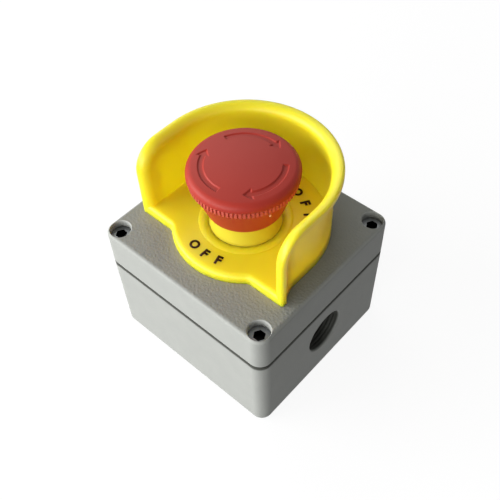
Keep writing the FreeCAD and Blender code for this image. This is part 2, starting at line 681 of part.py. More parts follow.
def twist_spring():
    """Torsion spring round the stem's neck, in the pusher's cup."""
    return coil(TWIST_R, TWIST_WIRE, WEB_TOP, PUSHER_TOP - REST_GAP, TWIST_TURNS)


def latch_pin():
    """Right-hand latch pin, its tip on the stem's cam."""
    return Part.makeCylinder(LATCH_PIN_R, LATCH_PIN_L, V(LATCH_TIP, 0, LATCH_Z), V(1, 0, 0))


def latch_band():
    """Split spring band behind the latch pins, in the sleeve's groove."""
    foot = LATCH_Z - BAND_H / 2
    top = LATCH_Z + BAND_H / 2
    outer = BAND_IN_R + BAND_T
    band = ring(BAND_IN_R, outer, foot, top)
    return band.cut(block(-BAND_SPLIT / 2, BAND_SPLIT / 2, 0, outer, foot, top))


def pusher():
    """Keyed slider: cup for the twist spring, web on the journal, ring that works the plungers."""
    body = turned([
        (PUSHER_RECESS_R, PUSHER_FOOT), (PUSHER_R, PUSHER_FOOT), (PUSHER_R, PUSHER_TOP),
        (PUSHER_CUP_R, PUSHER_TOP), (PUSHER_CUP_R, WEB_TOP), (JOURNAL_R + RUN_GAP, WEB_TOP),
        (JOURNAL_R + RUN_GAP, WEB_FOOT), (PUSHER_RECESS_R, WEB_FOOT),
    ])
    ribs = block(-KEY_W / 2, KEY_W / 2, -KEY_R, KEY_R, PUSHER_FOOT, PUSHER_TOP)
    return body.fuse(ribs.cut(cylinder((PUSHER_CUP_R + PUSHER_R) / 2, PUSHER_FOOT, PUSHER_TOP)))


def contact_carrier():
    """Collar on the sleeve, plate over the contact blocks and clip tabs at their ends."""
    plate_foot = BLOCK_TOP
    collar_top = SLEEVE_FOOT + COLLAR_H
    tab_in = BLOCK_D / 2 + TAB_GAP
    half_y = tab_in + TAB_T
    plate = block(-PLATE_X / 2, PLATE_X / 2, -half_y, half_y, plate_foot, SLEEVE_FOOT)
    tabs = [block(-TAB_X / 2, TAB_X / 2, tab_in, half_y, plate_foot - TAB_H, plate_foot),
            block(-TAB_X / 2, TAB_X / 2, -half_y, -tab_in, plate_foot - TAB_H, plate_foot)]
    carrier = plate.multiFuse([cylinder(COLLAR_R, SLEEVE_FOOT, collar_top)] + tabs)
    carrier = carrier.cut(cylinder(SLEEVE_R + THREAD_GAP, SLEEVE_FOOT, collar_top))
    carrier = carrier.cut(cylinder(KEY_R + PUSHER_GAP, plate_foot, SLEEVE_FOOT))
    screw_z = SLEEVE_FOOT + COLLAR_H / 2
    bore = Part.makeCylinder(SET_SCREW_R + THREAD_GAP / 2, 2 * COLLAR_R, V(0, -COLLAR_R, screw_z), V(0, 1, 0))
    return carrier.cut(bore).removeSplitter()


def carrier_screws():
    """Two set screws that clamp the collar to the sleeve."""
    tip = SLEEVE_R + THREAD_GAP
    screw_z = SLEEVE_FOOT + COLLAR_H / 2
    length = COLLAR_R - tip
    return Part.makeCompound([
        Part.makeCylinder(SET_SCREW_R, length, V(0, side * tip, screw_z), V(0, side, 0)) for side in (-1, 1)
    ])


def contact_levels(closed):
    """Foot of the moving bridge and foot of the fixed strips, for a closed or an open contact pair."""
    if closed:
        strip = BLOCK_TOP - NC_STRIP_DROP - STRIP_T
        return strip - 2 * TIP_H - BRIDGE_T, strip
    bridge = BLOCK_TOP - NO_BRIDGE_DROP - BRIDGE_T
    return bridge, bridge - 2 * TIP_H - PRESS_TRAVEL - REST_GAP - STRIP_T


def block_housing(closed):
    """Moulded housing: chamber open to one side, rebate for the cover, two terminal pockets."""
    strip = contact_levels(closed)[1]
    left = BLOCK_SPLIT
    right = BLOCK_SPLIT + BLOCK_W
    half_d = BLOCK_D / 2
    chamber = CHAMBER_D / 2
    housing = block(left, right, -half_d, half_d, BLOCK_FOOT, BLOCK_TOP)
    cuts = [
        block(left + SHELL_T, right, -chamber, chamber, BLOCK_FOOT + SHELL_T, BLOCK_TOP - SHELL_T),
        block(right - SHELL_T, right, -chamber - COVER_REBATE, chamber + COVER_REBATE,
              BLOCK_FOOT + SHELL_T - COVER_REBATE, BLOCK_TOP - SHELL_T + COVER_REBATE),
        cylinder(PLUNGER_R + RUN_GAP, BLOCK_TOP - SHELL_T, BLOCK_TOP, BLOCK_X),
    ]
    slot_half = STRIP_W / 2 + STRIP_SLOT_GAP
    for side in (-1, 1):
        pocket_y = sorted((side * (chamber + SHELL_T), side * half_d))
        pocket_x = (BLOCK_X - POCKET_W / 2, BLOCK_X + POCKET_W / 2)
        cuts.append(block(*pocket_x, *pocket_y, BLOCK_FOOT, strip + STRIP_T))
        slot_y = sorted((side * (chamber - SHELL_T), side * (chamber + 2 * SHELL_T)))
        cuts.append(block(BLOCK_X - slot_half, BLOCK_X + slot_half, *slot_y, strip, strip + STRIP_T))
    for cut in cuts:
        housing = housing.cut(cut)
    return housing


def block_cover():
    """Plate that closes the chamber, in the housing's rebate."""
    right = BLOCK_SPLIT + BLOCK_W
    half = CHAMBER_D / 2 + COVER_REBATE - COVER_GAP
    edge = SHELL_T - COVER_REBATE + COVER_GAP
    return block(right - SHELL_T, right, -half, half, BLOCK_FOOT + edge, BLOCK_TOP - edge)


def block_plunger(closed):
    """Plunger: button end, collar over the bridge, guide pin inside the spring."""
    bridge = contact_levels(closed)[0]
    seat = bridge + BRIDGE_T
    button = cylinder(PLUNGER_R, seat, PUSHER_FOOT - REST_GAP, BLOCK_X)
    collar = cylinder(PLUNGER_COLLAR_R, seat, seat + PLUNGER_COLLAR_H, BLOCK_X)
    guide_pin = cylinder(GUIDE_PIN_R, bridge - GUIDE_PIN_L, seat, BLOCK_X)
    return button.multiFuse([collar, guide_pin]).removeSplitter()


def block_bridge(closed):
    """Moving contact bridge with a tip at each end."""
    foot = contact_levels(closed)[0]
    top = foot + BRIDGE_T
    half_x = BRIDGE_W / 2
    half_y = BRIDGE_D / 2
    bridge = block(BLOCK_X - half_x, BLOCK_X + half_x, -half_y, half_y, foot, top)
    tip_z = (top, top + TIP_H) if closed else (foot - TIP_H, foot)
    tips = [cylinder(TIP_R, *tip_z, BLOCK_X, y) for y in (-TIP_Y, TIP_Y)]
    return bridge.multiFuse(tips).cut(cylinder(GUIDE_PIN_R + HUB_GAP, foot, top, BLOCK_X))


def block_spring(closed):
    """Spring under the bridge."""
    bridge = contact_levels(closed)[0]
    spring = coil(CONTACT_COIL_R, CONTACT_WIRE, BLOCK_FOOT + SHELL_T, bridge, CONTACT_TURNS)
    return spring.translated(V(BLOCK_X, 0, 0))


def block_terminals(closed):
    """Two fixed contact strips, each with its tip and screw hole."""
    foot = contact_levels(closed)[1]
    top = foot + STRIP_T
    tip_z = (foot - TIP_H, foot) if closed else (top, top + TIP_H)
    half_x = STRIP_W / 2
    strips = []
    for side in (-1, 1):
        span = sorted((side * STRIP_FROM, side * STRIP_TO))
        strip = block(BLOCK_X - half_x, BLOCK_X + half_x, *span, foot, top)
        strip = strip.fuse(cylinder(TIP_R, *tip_z, BLOCK_X, side * TIP_Y))
        screw_hole = cylinder(TERMINAL_SCREW_R + THREAD_GAP, foot, top, BLOCK_X, side * TERMINAL_Y)
        strips.append(strip.cut(screw_hole))
    return Part.makeCompound(strips)


def terminal_screws(closed):
    """Two slotted terminal screws, up through the clamps into the strips."""
    top = contact_levels(closed)[1] + STRIP_T
    seat = top - TERMINAL_SCREW_L
    foot = seat - TERMINAL_HEAD_H
    slot_half = TERMINAL_HEAD_H / 5
    screws = []
    for side in (-1, 1):
        y = side * TERMINAL_Y
        head = cylinder(TERMINAL_HEAD_R, foot, seat, BLOCK_X, y)
        slot = block(BLOCK_X - TERMINAL_HEAD_R, BLOCK_X + TERMINAL_HEAD_R, y - slot_half, y + slot_half,
                     foot, foot + TERMINAL_HEAD_H / 2)
        screws.append(head.cut(slot).fuse(cylinder(TERMINAL_SCREW_R, seat, top, BLOCK_X, y)))
    return Part.makeCompound(screws)


def terminal_clamps(closed):
    """Two clamp plates on the terminal screws."""
    foot = contact_levels(closed)[1] + STRIP_T - TERMINAL_SCREW_L
    half_x = STRIP_W / 2
    half_y = CLAMP_D / 2
    clamps = []
    for side in (-1, 1):
        y = side * TERMINAL_Y
        plate = block(BLOCK_X - half_x, BLOCK_X + half_x, y - half_y, y + half_y, foot, foot + CLAMP_T)
        clamps.append(plate.cut(cylinder(TERMINAL_SCREW_R + THREAD_GAP, foot, foot + CLAMP_T, BLOCK_X, y)))
    return Part.makeCompound(clamps)


def contact_block(prefix, closed):
    """All pieces of one contact block, on the +X side."""
    return {
        prefix + "_housing": block_housing(closed),
        prefix + "_cover": block_cover(),
        prefix + "_plunger": block_plunger(closed),
        prefix + "_bridge": block_bridge(closed),
        prefix + "_spring": block_spring(closed),
        prefix + "_terminals": block_terminals(closed),
        prefix + "_terminal_screws": terminal_screws(closed),
        prefix + "_clamps": terminal_clamps(closed),
    }


parts = {
    "enclosure_base": enclosure_base(),
    "enclosure_lid": enclosure_lid(),
    "lid_gasket": lid_gasket(),
    "lid_screws": lid_screws(),
    "earth_screw": earth_screw(),
    "earth_washer": earth_washer(),
    "guard_shroud": guard_shroud(),
    "shroud_seal": shroud_seal(),
    "bezel_ring": bezel_ring(),
    "operator_body": operator_body(),
    "stem_seal": stem_seal(),
    "lock_washer": lock_washer(),
    "locknut": locknut(),
    "mushroom_head": mushroom_head(),
    "head_stem": head_stem(),
    "head_pin": head_pin(),
    "stem_circlip": stem_circlip(),
    "return_spring": return_spring(),
    "twist_spring": twist_spring(),
    "latch_pin_right": latch_pin(),
    "latch_pin_left": mirrored(latch_pin()),
    "latch_band": latch_band(),
    "pusher": pusher(),
    "contact_carrier": contact_carrier(),
    "carrier_screws": carrier_screws(),
}
parts.update(contact_block("no", False))
for name, shape in contact_block("nc", True).items():
    parts[name] = mirrored(shape)

os.makedirs("parts", exist_ok=True)
for name, shape in parts.items():
    shape.exportStep("parts/" + name + ".step")
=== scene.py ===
import json
import math

import bmesh
import bpy
from mathutils import Matrix, Vector


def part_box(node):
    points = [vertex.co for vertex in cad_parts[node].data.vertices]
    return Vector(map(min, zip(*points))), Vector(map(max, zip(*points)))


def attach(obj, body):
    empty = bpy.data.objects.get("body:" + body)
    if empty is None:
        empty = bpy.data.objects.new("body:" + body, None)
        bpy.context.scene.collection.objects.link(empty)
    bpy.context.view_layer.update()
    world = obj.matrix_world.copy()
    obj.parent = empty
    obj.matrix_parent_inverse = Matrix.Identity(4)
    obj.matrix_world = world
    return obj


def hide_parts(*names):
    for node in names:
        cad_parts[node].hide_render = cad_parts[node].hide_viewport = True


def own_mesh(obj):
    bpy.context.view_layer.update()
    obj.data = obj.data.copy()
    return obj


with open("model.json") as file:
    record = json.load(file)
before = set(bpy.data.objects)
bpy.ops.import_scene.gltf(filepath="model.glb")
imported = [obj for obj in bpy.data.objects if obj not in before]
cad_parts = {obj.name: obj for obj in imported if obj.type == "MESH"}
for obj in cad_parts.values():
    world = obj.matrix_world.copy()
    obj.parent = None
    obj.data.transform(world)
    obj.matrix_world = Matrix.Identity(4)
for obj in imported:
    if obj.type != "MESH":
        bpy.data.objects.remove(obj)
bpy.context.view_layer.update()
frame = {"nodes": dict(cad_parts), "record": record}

# Die-cast base
# The lower half of the box is pressure-cast aluminium, blasted and powder coated grey.
# One side is bored and tapped M20 x 1.5 for a cable gland, with a rounded mouth and a thread painted darker
# inwards as shade.
MM = 0.001
WELD = 0.001 * MM           # points closer than this are one
ENTRY_MINOR_R = 9.2 * MM
ENTRY_MAJOR_R = 10.0 * MM
ENTRY_PITCH = 1.5 * MM
ENTRY_ROUND = 0.8 * MM      # rounding of the mouth
ENTRY_MOUTH_R = 10.0 * MM   # where the rounding meets the wall
ENTRY_LEAN = 0.01           # draft of that wall, across over up
ENTRY_GROOVE = 0.25 * MM    # thread left open by the coat
ENTRY_OPEN = 0.8            # share of the pitch that the groove takes
ENTRY_RUN_IN = 2.0 * MM     # length over which the thread reaches its depth
ENTRY_STEP = 0.1 * MM       # rows of the thread's mesh
ENTRY_COLUMNS = 120
ENTRY_PLAY = 0.01 * MM      # between the thread's back and the widened bore
MOUTH_STEPS = 8
BORE_SLACK = 0.02 * MM      # how far a point of the plain bore may lie from its radius
SEAM_SHADE_FROM = 1.5 * MM       # painted shade in the seam: where it starts and is full, below the lid's edge
SEAM_SHADE_FULL = 0.6 * MM
SEAM_SHADE_END = 1.0 * MM        # and where it ends, above that edge
SEAM_SHADE_FADE = 0.1 * MM
BORE_SHADE_FROM = 0.1 * MM         # painted shade in the thread: from just outside the wall to a depth where it is full
BORE_SHADE_FULL = 1.2 * MM


def linear(code):
    """sRGB hex colour as linear RGBA."""
    shares = [int(code[i:i + 2], 16) / 255 for i in (1, 3, 5)]
    return [s / 12.92 if s < 0.04045 else ((s + 0.055) / 1.055) ** 2.4 for s in shares] + [1.0]


def add_node(material, kind, settings=None, links=None):
    """Adds a shader node: settings go to its inputs or properties, links join its inputs to outputs."""
    made = material.node_tree.nodes.new(kind)
    for name, value in (settings or {}).items():
        if isinstance(name, int) or name in made.inputs:
            made.inputs[name].default_value = value
        else:
            setattr(made, name, value)
    for name, source in (links or {}).items():
        material.node_tree.links.new(source, made.inputs[name])
    return made


def blank(name):
    """Material with no nodes yet."""
    material = bpy.data.materials.new(name)
    material.use_nodes = True
    material.node_tree.nodes.clear()
    return material


def painted_shading(material, place, fresh, tone, runs):
    """Colour that turns to a painted tone of shade or highlight where every run has got to its end.
    A run is an axis, the place along it where the change starts, and the place where it is full."""
    axes = add_node(material, "ShaderNodeSeparateXYZ", links={0: place.outputs["Object"]})
    cover = None
    for axis, start, full in runs:
        run = add_node(material, "ShaderNodeMapRange", {"From Min": start, "From Max": full},
                       {"Value": axes.outputs[axis]})
        if cover:
            run = add_node(material, "ShaderNodeMath", {"operation": "MULTIPLY"},
                           {0: cover.outputs[0], 1: run.outputs[0]})
        cover = run
    return add_node(material, "ShaderNodeMix", {"data_type": "RGBA", 7: linear(tone)},
                    {0: cover.outputs[0], 6: fresh.outputs[2]})


def powder_coat(name, *shade_runs):
    """Grey polyester powder coat: rounded orange-peel pebbles on the lid's top, nearly smooth on the sides.
    The eye sees a satin grey with small soft glints and a faint drift in tone; the top is painted darker as
    shade, and the runs paint shade into joints and bores."""
    pebble = 1.0 * MM
    pebble_depth = 0.2 * MM
    side_depth = 0.12       # share of the depth that is left on the sides
    drift = 9 * MM
    top_from = 0.7          # how far up a face points where the top's finish starts
    top_shade_share = 0.42
    material = blank(name)
    place = add_node(material, "ShaderNodeTexCoord")
    cloud = add_node(material, "ShaderNodeTexNoise", {"Scale": 1 / drift, "Detail": 3},
                     {"Vector": place.outputs["Object"]})
    clean = add_node(material, "ShaderNodeMix",
                     {"data_type": "RGBA", 6: linear("#9FA19D"), 7: linear("#A9ABA6")},
                     {0: cloud.outputs["Fac"]})
    facing = add_node(material, "ShaderNodeNewGeometry")
    upright = add_node(material, "ShaderNodeSeparateXYZ", links={0: facing.outputs["True Normal"]})
    topside = add_node(material, "ShaderNodeMapRange", {"From Min": top_from},
                       {"Value": upright.outputs["Z"]})
    top_shade = add_node(material, "ShaderNodeMath", {"operation": "MULTIPLY", 1: top_shade_share},
                    {0: topside.outputs[0]})
    # Painted shade: faces that point up are darkened towards this grey, and the runs darken joints and bores
    # further.
    top_shaded = add_node(material, "ShaderNodeMix", {"data_type": "RGBA", 7: linear("#585A54")},
                      {0: top_shade.outputs[0], 6: clean.outputs[2]})
    tone = painted_shading(material, place, top_shaded, "#474843", shade_runs)
    peel = add_node(material, "ShaderNodeTexNoise", {"Scale": 1 / pebble, "Detail": 1.5, "Roughness": 0.4},
                    {"Vector": place.outputs["Object"]})
    gloss = add_node(material, "ShaderNodeMapRange", {"To Min": 0.42, "To Max": 0.56},
                     {"Value": peel.outputs["Fac"]})
    strength = add_node(material, "ShaderNodeMapRange", {"To Min": side_depth, "To Max": 1.0},
                        {"Value": topside.outputs[0]})
    relief = add_node(material, "ShaderNodeBump", {"Distance": pebble_depth},
                      {"Height": peel.outputs["Fac"], "Strength": strength.outputs[0]})
    shader = add_node(material, "ShaderNodeBsdfPrincipled", {"IOR": 1.5, "Specular IOR Level": 0.12},
                      {"Base Color": tone.outputs[2], "Roughness": gloss.outputs[0],
                       "Normal": relief.outputs[0]})
    add_node(material, "ShaderNodeOutputMaterial", links={"Surface": shader.outputs[0]})
    return material


def turned_mesh(name, rows, columns):
    """Mesh of rings about Z: each row is a function of the bearing that gives a radius and a height.
    Points that fall on one place are welded, so a row of no radius is a point."""
    shell = bmesh.new()
    rings = []
    for row in rows:
        ring = []
        for column in range(columns):
            bearing = 2 * math.pi * column / columns
            radius, height = row(bearing)
            ring.append(shell.verts.new((radius * math.cos(bearing), radius * math.sin(bearing), height)))
        rings.append(ring)
    for lower, upper in zip(rings, rings[1:]):
        for column in range(columns):
            after = (column + 1) % columns
            shell.faces.new((lower[column], lower[after], upper[after], upper[column]))
    bmesh.ops.remove_doubles(shell, verts=shell.verts, dist=WELD)
    bmesh.ops.recalc_face_normals(shell, faces=shell.faces)
    for face in shell.faces:
        face.smooth = True
    mesh = bpy.data.meshes.new(name)
    shell.to_mesh(mesh)
    shell.free()
    return mesh


def plain_row(radius, height):
    """Ring of even radius and height."""
    return lambda bearing: (radius, height)


def show(name, mesh, material, body):
    """Puts a mesh in the scene as a piece that rides on a body."""
    piece = bpy.data.objects.new(name, mesh)
    bpy.context.scene.collection.objects.link(piece)
    mesh.materials.clear()
    mesh.materials.append(material)
    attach(piece, body)
    return piece


def dress(material, *names):
    """Gives CAD nodes their finish."""
    for name in names:
        slots = frame["nodes"][name].data.materials
        slots.clear()
        slots.append(material)


def thread_row(depth):
    """Ring of the tapped hole at a depth from the mouth's rounding.
    Its V-shaped groove winds with the pitch and runs in to full depth."""
    def row(bearing):
        turn = (depth / ENTRY_PITCH - bearing / (2 * math.pi)) % 1.0
        groove = max(0.0, 1.0 - 2 * abs(turn - 0.5) / ENTRY_OPEN) * min(1.0, depth / ENTRY_RUN_IN)
        return ENTRY_MINOR_R + ENTRY_GROOVE * groove, entry_length - ENTRY_ROUND - depth
    return row


def mouth_row(lean):
    """Ring of the mouth's rounding, from the wall inwards; its plane leans with the wall."""
    radius = ENTRY_MOUTH_R - ENTRY_ROUND * math.sin(lean)
    height = entry_length - ENTRY_ROUND * (1 - math.cos(lean))
    return lambda bearing: (radius, height - ENTRY_LEAN * radius * math.cos(bearing) * math.cos(lean))


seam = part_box("enclosure_lid")[0].z
# Painted shade: the coat darkens in a band round the seam between lid and base.
coat = powder_coat("powder_coat_grey", ("Z", seam - SEAM_SHADE_FROM, seam - SEAM_SHADE_FULL),
                   ("Z", seam + SEAM_SHADE_END, seam + SEAM_SHADE_END - SEAM_SHADE_FADE))
entry = [m for m in frame["record"]["mounts"] if m["name"] == "cable_entry"][0]
axis_z = entry["pos_m"][2]
bored = frame["nodes"]["enclosure_base"].data.copy()
bore = []
for vertex in bored.vertices:
    across = Vector((vertex.co.y, vertex.co.z - axis_z))
    if vertex.co.x > 0 and abs(across.length - ENTRY_MINOR_R) < BORE_SLACK:
        bore.append(vertex)
bore_from = min(v.co.x for v in bore)
bore_middle = sum(v.co.x for v in bore) / len(bore)
outer = [v for v in bore if v.co.x > bore_middle]
entry_length = sum(v.co.x for v in outer) / len(outer) - bore_from
# The plain bore is widened to clear the thread, whose own mesh then fills it.
for vertex in bore:
    growth = (ENTRY_MOUTH_R if vertex in outer else ENTRY_MAJOR_R) / ENTRY_MINOR_R
    rise = (vertex.co.z - axis_z) * growth
    if vertex in outer:
        vertex.co.x = bore_from + entry_length + ENTRY_LEAN * rise
    vertex.co.y *= growth
    vertex.co.z = axis_z + rise
base = show("tapped_base", bored, coat, "station")
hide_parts("enclosure_base")
thread_length = entry_length - ENTRY_ROUND
thread_steps = int(thread_length / ENTRY_STEP)
thread_rows = [mouth_row(math.pi / 2 * step / MOUTH_STEPS) for step in range(MOUTH_STEPS + 1)]
thread_rows += [thread_row(thread_length * step / thread_steps) for step in range(1, thread_steps + 1)]
thread_rows += [plain_row(ENTRY_MAJOR_R - ENTRY_PLAY, 0.0), thread_rows[0]]
thread = turned_mesh("entry_thread", thread_rows, ENTRY_COLUMNS)
thread.transform(Matrix.Translation((bore_from, 0, axis_z)) @ Matrix.Rotation(math.pi / 2, 4, "Y"))
wall_x = bore_from + entry_length
# The same coat with painted shade in the bore: nearly black a little way in from the mouth.
bore_shaded_coat = powder_coat("powder_coat_oiled", ("X", wall_x + BORE_SHADE_FROM, wall_x - BORE_SHADE_FULL))
show("entry_thread", thread, bore_shaded_coat, "station")

# Seals
# The seam gasket, the ring under the guard and the stem's wiper are pressed from black EPDM rubber.
# They lie in grooves, held by the clamped parts alone.


def moulded(name, colours, grain, relief, sockets, painted_tone=None, runs=()):
    """Moulded plastic or rubber: a slow drift between two tones, and the mould's fine grain as relief.
    The grain breaks up the gloss as a real tool's spark-eroded face does. Runs lead to a painted tone of
    shade or highlight."""
    drift = 14 * MM
    material = blank(name)
    place = add_node(material, "ShaderNodeTexCoord")
    cloud = add_node(material, "ShaderNodeTexNoise", {"Scale": 1 / drift, "Detail": 2},
                     {"Vector": place.outputs["Object"]})
    tone = add_node(material, "ShaderNodeMix",
                    {"data_type": "RGBA", 6: linear(colours[0]), 7: linear(colours[1])},
                    {0: cloud.outputs["Fac"]})
    if painted_tone:
        tone = painted_shading(material, place, tone, painted_tone, runs)
    tooth = add_node(material, "ShaderNodeTexNoise", {"Scale": 1 / grain, "Detail": 2},
                     {"Vector": place.outputs["Object"]})
    bump = add_node(material, "ShaderNodeBump", {"Distance": relief, "Strength": 1.0},
                    {"Height": tooth.outputs["Fac"]})
    shader = add_node(material, "ShaderNodeBsdfPrincipled", sockets,
                      {"Base Color": tone.outputs[2], "Normal": bump.outputs[0]})
    add_node(material, "ShaderNodeOutputMaterial", links={"Surface": shader.outputs[0]})
    return material


# Pressed rubber: a matt black that swallows light.
rubber = moulded("epdm_rubber", ("#1B1B1A", "#242423"), 0.5 * MM, 0.02 * MM, {"IOR": 1.52, "Roughness": 0.75})
dress(rubber, "lid_gasket", "shroud_seal", "stem_seal")

# Contact blocks
# Two blocks of glass-filled polyamide hold sprung brass bridges and brass terminals with plated screws.
# A red plunger marks the pair that opens when pressed, and a green one the pair that closes.


def bare_metal(name, colours, spacing, roughness, painted_tone=None, runs=()):
    """Bare metal: fine marks from drawing, rolling or plating, drawn as coarse as they need to show.
    They give a soft streaked glint between a light and a dark tone. Runs lead to a painted tone of shade or
    highlight."""
    stretch = 8             # length of the marks over their spacing
    gloss_swing = 0.08
    material = blank(name)
    place = add_node(material, "ShaderNodeTexCoord")
    lay = add_node(material, "ShaderNodeMapping",
                   {"Scale": (1 / spacing, 1 / spacing, 1 / spacing / stretch)},
                   {"Vector": place.outputs["Object"]})
    marks = add_node(material, "ShaderNodeTexNoise", {"Scale": 1.0, "Detail": 3}, {"Vector": lay.outputs[0]})
    tone = add_node(material, "ShaderNodeMix",
                    {"data_type": "RGBA", 6: linear(colours[0]), 7: linear(colours[1])},
                    {0: marks.outputs["Fac"]})
    if painted_tone:
        tone = painted_shading(material, place, tone, painted_tone, runs)
    gloss = add_node(material, "ShaderNodeMapRange",
                     {"To Min": roughness - gloss_swing, "To Max": roughness + gloss_swing},
                     {"Value": marks.outputs["Fac"]})
    shader = add_node(material, "ShaderNodeBsdfPrincipled", {"Metallic": 1.0},
                      {"Base Color": tone.outputs[2], "Roughness": gloss.outputs[0]})
    add_node(material, "ShaderNodeOutputMaterial", links={"Surface": shader.outputs[0]})
    return material


def coil(name, material):
    """Coil spring, shown as its own copy of the CAD mesh on the station."""
    wound = show(name + "_coil", frame["nodes"][name].data.copy(), material, "station")
    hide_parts(name)
    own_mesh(wound)


# Glass-filled polyamide: a dry, even mid grey with a broad dull sheen.
block_nylon = moulded("glass_filled_polyamide", ("#8E8F8A", "#9B9C97"), 0.4 * MM, 0.02 * MM,
                      {"IOR": 1.53, "Roughness": 0.55})
# Acetal: a waxy, full colour with a soft highlight.
opening_red = moulded("acetal_red", ("#A8231C", "#B32B22"), 0.4 * MM, 0.01 * MM,
                      {"IOR": 1.48, "Roughness": 0.4})
closing_green = moulded("acetal_green", ("#1F7A3A", "#278543"), 0.4 * MM, 0.01 * MM,
                        {"IOR": 1.48, "Roughness": 0.4})
# Rolled brass glints warm, zinc plate cool and a little cloudy, drawn spring wire darker and sharper.
brass = bare_metal("rolled_brass", ("#C9A24E", "#DDB866"), 0.3 * MM, 0.32)
zinc = bare_metal("zinc_plated_steel", ("#B9BCBD", "#CDD0D0"), 0.4 * MM, 0.35)
spring_wire = bare_metal("drawn_spring_steel", ("#8F9194", "#A9ABAD"), 0.2 * MM, 0.28)
for pair, plunger in (("nc", opening_red), ("no", closing_green)):
    dress(block_nylon, pair + "_housing", pair + "_cover")
    dress(plunger, pair + "_plunger")
    dress(brass, pair + "_bridge", pair + "_terminals")
    dress(zinc, pair + "_terminal_screws")
    dress(spring_wire, pair + "_clamps")
    coil(pair + "_spring", spring_wire)

# Earth terminal
# A slotted, zinc-plated screw and a brass washer on a boss of the box floor.
# The boss is tapped for the screw, which clamps the earth wire under the washer.
dress(zinc, "earth_screw")
dress(brass, "earth_washer")

# Operator and its carrier
# The threaded sleeve, the keyed pusher and the carrier for the blocks are black polyamide mouldings.
# A plated hexagon nut and a washer clamp the sleeve to the lid, and two set screws the carrier to the sleeve.

# Black polyamide: a deep black, greyed by a broad soft sheen.
black_nylon = moulded("polyamide_black", ("#1E1E1D", "#282827"), 0.4 * MM, 0.02 * MM,
                      {"IOR": 1.53, "Roughness": 0.5})
dress(black_nylon, "operator_body", "pusher", "contact_carrier")
dress(zinc, "lock_washer", "locknut", "carrier_screws")

# Stem and latch
# A turned steel stem with its cam, held by a cross pin and a circlip.
# Two sprung pins in a split band drop behind the cam; wound springs lift the head and turn it back.
dress(spring_wire, "head_stem", "head_pin", "stem_circlip", "latch_pin_left", "latch_pin_right", "latch_band",
      "twist_spring")
coil("return_spring", spring_wire)

# Lid and lid screws
# The cast upper half has the same powder coat, with a pebbled top face.
# Four zinc-plated socket screws, in a dull dark grey, sit deep in its corner wells.
SOCKET_SHADE_FROM = 0.1 * MM      # depth where painted shade in the socket starts, and where it is full
SOCKET_SHADE_FULL = 0.5 * MM
screw_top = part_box("lid_screws")[1].z
# Zinc plate in a dull grey without a bright glint, with painted shade that makes the socket black.
dull_zinc = bare_metal("zinc_plated_steel_dull", ("#6C6E6E", "#7C7E7E"), 0.5 * MM, 0.45, "#191918",
                       [("Z", screw_top - SOCKET_SHADE_FROM, screw_top - SOCKET_SHADE_FULL)])
dress(coat, "enclosure_lid")
dress(dull_zinc, "lid_screws")

# Guard shroud
# One ABS moulding in safety yellow, satin from the tool: a floor, and a wall with a curled lip.
# A rolled rim on the floor holds the collar. The switch position is pad-printed round it in dark ink,
# in plain capitals that read from three sides.
LEGEND = "OFF"
LETTER_H = 3.9 * MM
LETTER_BOLD = 0.05          # stroke growth, as a share of the type size
INK_T = 0.04 * MM
FRONT_R = 22.4 * MM
FRONT_STEP = 15.0           # degrees between letters
FRONT_BEARING = -89.0       # middle of the front word
BACK_R = 23.5 * MM
BACK_STEP = 16.0
BACK_TURN = 32.0            # middle of each back word, from straight behind
FLOOR_T = 4.0 * MM
BOSS_R = 18.0 * MM          # plain boss of the frame, foot and top
BOSS_TOP_R = 16.0 * MM
BOSS_SLACK = 0.1 * MM       # how far its points may lie from those radii
ROLL_R = 17.8 * MM          # rolled rim that takes its place: outer edge, crown and inner foot
ROLL_CROWN_R = 16.7 * MM
ROLL_FOOT_R = 13.9 * MM
ROLL_RISE = 0.6 * MM
ROLL_STEPS = 24
SEAT_DROP = 0.7 * MM        # the collar's seat, under the floor's face


def printed_letter(letter):
    """Flat mesh of one capital, centred, with its full height along Y."""
    text = bpy.data.curves.new("letter", "FONT")
    text.body = letter
    text.align_x = "CENTER"
    text.offset = LETTER_BOLD
    carrier = bpy.data.objects.new("letter", text)
    bpy.context.scene.collection.objects.link(carrier)
    bpy.context.view_layer.update()
    mesh = bpy.data.meshes.new_from_object(carrier.evaluated_get(bpy.context.evaluated_depsgraph_get()))
    bpy.data.objects.remove(carrier)
    bpy.data.curves.remove(text)
    low = min(v.co.y for v in mesh.vertices)
    high = max(v.co.y for v in mesh.vertices)
    scale = LETTER_H / (high - low)
    mesh.transform(Matrix.Scale(scale, 4) @ Matrix.Translation((0, -(low + high) / 2, 0)))
    return mesh


def printed_word(name, word, radius, middle, step, turn):
    """Letters on an arc of the shroud's floor; turn is the way their tops point from the axis."""
    sheet = bmesh.new()
    for index, letter in enumerate(word):
        bearing = math.radians(middle + step * (index - (len(word) - 1) / 2))
        mesh = printed_letter(letter)
        place = Matrix.Translation((radius * math.cos(bearing), radius * math.sin(bearing), floor_top))
        mesh.transform(place @ Matrix.Rotation(bearing + turn, 4, "Z"))
        sheet.from_mesh(mesh)
        bpy.data.meshes.remove(mesh)
    grown = bmesh.ops.extrude_face_region(sheet, geom=sheet.faces[:])["geom"]
    top = [g for g in grown if isinstance(g, bmesh.types.BMVert)]
    bmesh.ops.translate(sheet, vec=(0, 0, INK_T), verts=top)
    bmesh.ops.recalc_face_normals(sheet, faces=sheet.faces)
    mesh = bpy.data.meshes.new(name)
    sheet.to_mesh(mesh)
    sheet.free()
    return show(name, mesh, ink, "station")


def smooth(share):
    """Eases from 0 to 1."""
    share = min(1.0, max(0.0, share))
    return share * share * (3 - 2 * share)


